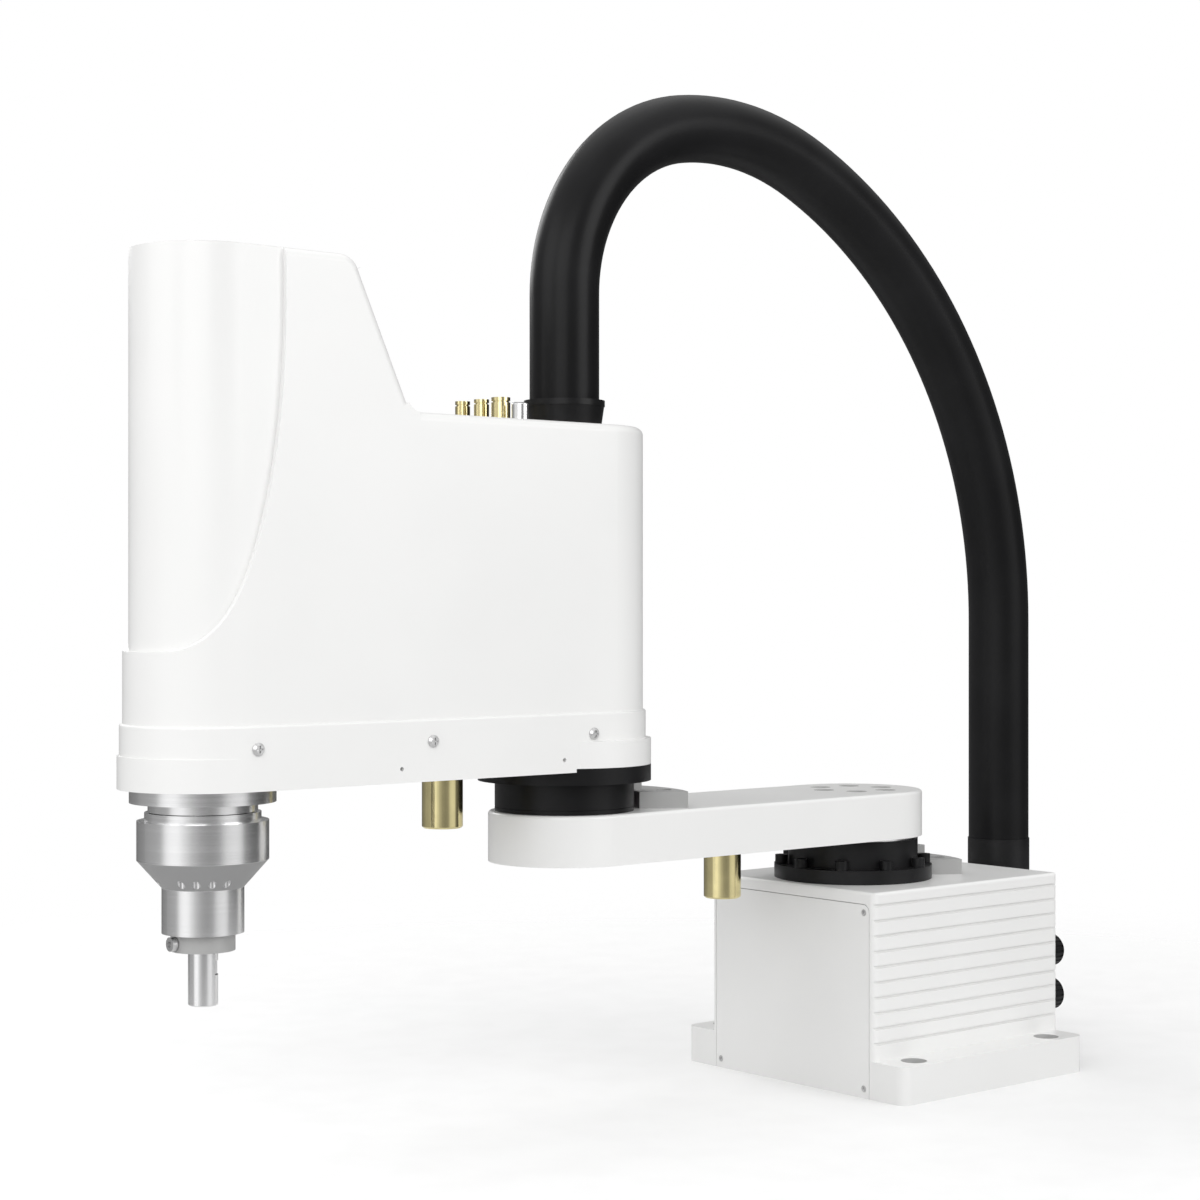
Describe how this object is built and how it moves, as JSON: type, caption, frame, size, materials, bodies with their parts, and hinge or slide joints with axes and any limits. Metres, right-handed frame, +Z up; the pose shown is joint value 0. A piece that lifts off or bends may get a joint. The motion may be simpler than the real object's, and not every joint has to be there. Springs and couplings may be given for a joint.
{
  "type": "scara_robot",
  "caption": "White SCARA robot arm with a finned base, a folded upper arm, a tall cover, a black cable conduit and a hollow quill.",
  "frame": {"origin": "the first joint's axis at the mounting plane", "axes": "+X from the first joint towards the quill at rest, +Y to the side of the brake button, +Z up along all four joint axes"},
  "size_m": [0.716, 0.2, 0.6351],
  "materials": {
    "painted_white": "slightly glossy white enamel with a fine orange peel",
    "black_satin": "satin black coating",
    "conduit_black": "smooth satin black polymer",
    "brushed_steel": "turned steel with fine rings",
    "ground_steel": "ground and polished steel",
    "zinc_screws": "zinc plated",
    "dark_screws": "blackened steel",
    "polished_brass": "polished turned brass",
    "fitting_brass": "machined brass, slightly dull",
    "anodised_grey": "matte light grey anodised",
    "pulley_aluminium": "machined",
    "belt_rubber": "matte",
    "motor_black": "matte black"
  },
  "bodies": {
    "base": {"base_casting": "painted_white", "base_front_plate": "painted_white", "base_rear_panel": "painted_white", "base_plate_screws": "zinc_screws", "power_connector": "black_satin", "signal_connector": "black_satin", "conduit_elbow": "black_satin", "conduit": "conduit_black", "j1_motor": "motor_black", "j1_reducer": "black_satin", "j1_reducer_screws": "black_satin", "j1_stop_block": "anodised_grey", "j1_block_bolts": "zinc_screws"},
    "arm_1": {"j1_output_hub": "brushed_steel", "arm_1_casting": "painted_white", "arm_1_screws": "dark_screws", "j1_stop_pin": "polished_brass", "j2_reducer": "black_satin", "j2_reducer_screws": "zinc_screws", "j2_stop_block": "anodised_grey", "j2_block_bolts": "zinc_screws"},
    "arm_2": {"j2_output_ring": "black_satin", "arm_2_casting": "painted_white", "arm_2_cover": "painted_white", "cover_screws": "zinc_screws", "j2_stop_pin": "polished_brass", "j2_motor": "motor_black", "j3_motor": "motor_black", "j4_motor": "motor_black", "j3_motor_plate": "brushed_steel", "j4_motor_plate": "brushed_steel", "motor_plate_posts": "brushed_steel", "j3_belt": "belt_rubber", "j4_belt": "belt_rubber", "nut_bearing": "brushed_steel", "spline_flange": "brushed_steel", "spline_bearing": "brushed_steel", "air_fitting_left": "fitting_brass", "air_fitting_middle": "fitting_brass", "air_fitting_right": "fitting_brass", "conduit_flange": "black_satin", "flange_screws": "zinc_screws", "brake_switch": "motor_black"},
    "brake_release": {"brake_button": "ground_steel"},
    "spline_drive": {"spline_housing": "brushed_steel", "spline_nut": "ground_steel", "j4_pulley": "pulley_aluminium"},
    "screw_nut_drive": {"screw_nut": "ground_steel", "j3_pulley": "pulley_aluminium"},
    "j3_motor_shaft": {"j3_motor_pulley": "pulley_aluminium"},
    "j4_motor_shaft": {"j4_motor_pulley": "pulley_aluminium"},
    "quill": {"quill_shaft": "ground_steel", "lower_stop_collar": "anodised_grey", "upper_stop_collar": "anodised_grey", "collar_clamp_screw": "zinc_screws"}
  },
  "joints": [
    {"name": "j1_shoulder", "type": "hinge", "parent": "base", "child": "arm_1", "pos_m": [0, 0, 0.159], "axis": [0, 0, 1], "range_deg": [-132, 132], "deforming": ["conduit"]},
    {"name": "j2_elbow", "type": "hinge", "parent": "arm_1", "child": "arm_2", "pos_m": [0.25, 0, 0.2075], "axis": [0, 0, -1], "range_deg": [-140, 140]},
    {"name": "j4_spline_turn", "type": "hinge", "parent": "arm_2", "child": "spline_drive", "pos_m": [0.5, 0, 0.138], "axis": [0, 0, 1], "range_deg": [-360, 360]},
    {"name": "j3_quill_slide", "type": "slide", "parent": "spline_drive", "child": "quill", "axis": [0, 0, -1], "range_m": [0, 0.15]},
    {"name": "ball_nut_turn", "type": "hinge", "parent": "arm_2", "child": "screw_nut_drive", "pos_m": [0.5, 0, 0.3014], "axis": [0, 0, 1], "range_deg": [0, 3375]},
    {"name": "j3_motor_turn", "type": "hinge", "parent": "arm_2", "child": "j3_motor_shaft", "pos_m": [0.402, 0, 0.3014], "axis": [0, 0, 1], "range_deg": [0, 6750]},
    {"name": "j4_motor_turn", "type": "hinge", "parent": "arm_2", "child": "j4_motor_shaft", "pos_m": [0.338, 0, 0.2434], "axis": [0, 0, 1], "range_deg": [-720, 720]},
    {"name": "brake_button_press", "type": "slide", "parent": "arm_2", "child": "brake_release", "axis": [0, 0, -1], "range_m": [0, 0.0025], "stiffness_N_per_m": 400, "springref_m": -0.002}
  ],
  "couplings": [
    {"joint": "ball_nut_turn", "follows": "j3_quill_slide", "rad_per_m": 392.7},
    {"joint": "j3_motor_turn", "follows": "j3_quill_slide", "rad_per_m": 785.4},
    {"joint": "j4_motor_turn", "follows": "j4_spline_turn", "ratio": 2}
  ]
}
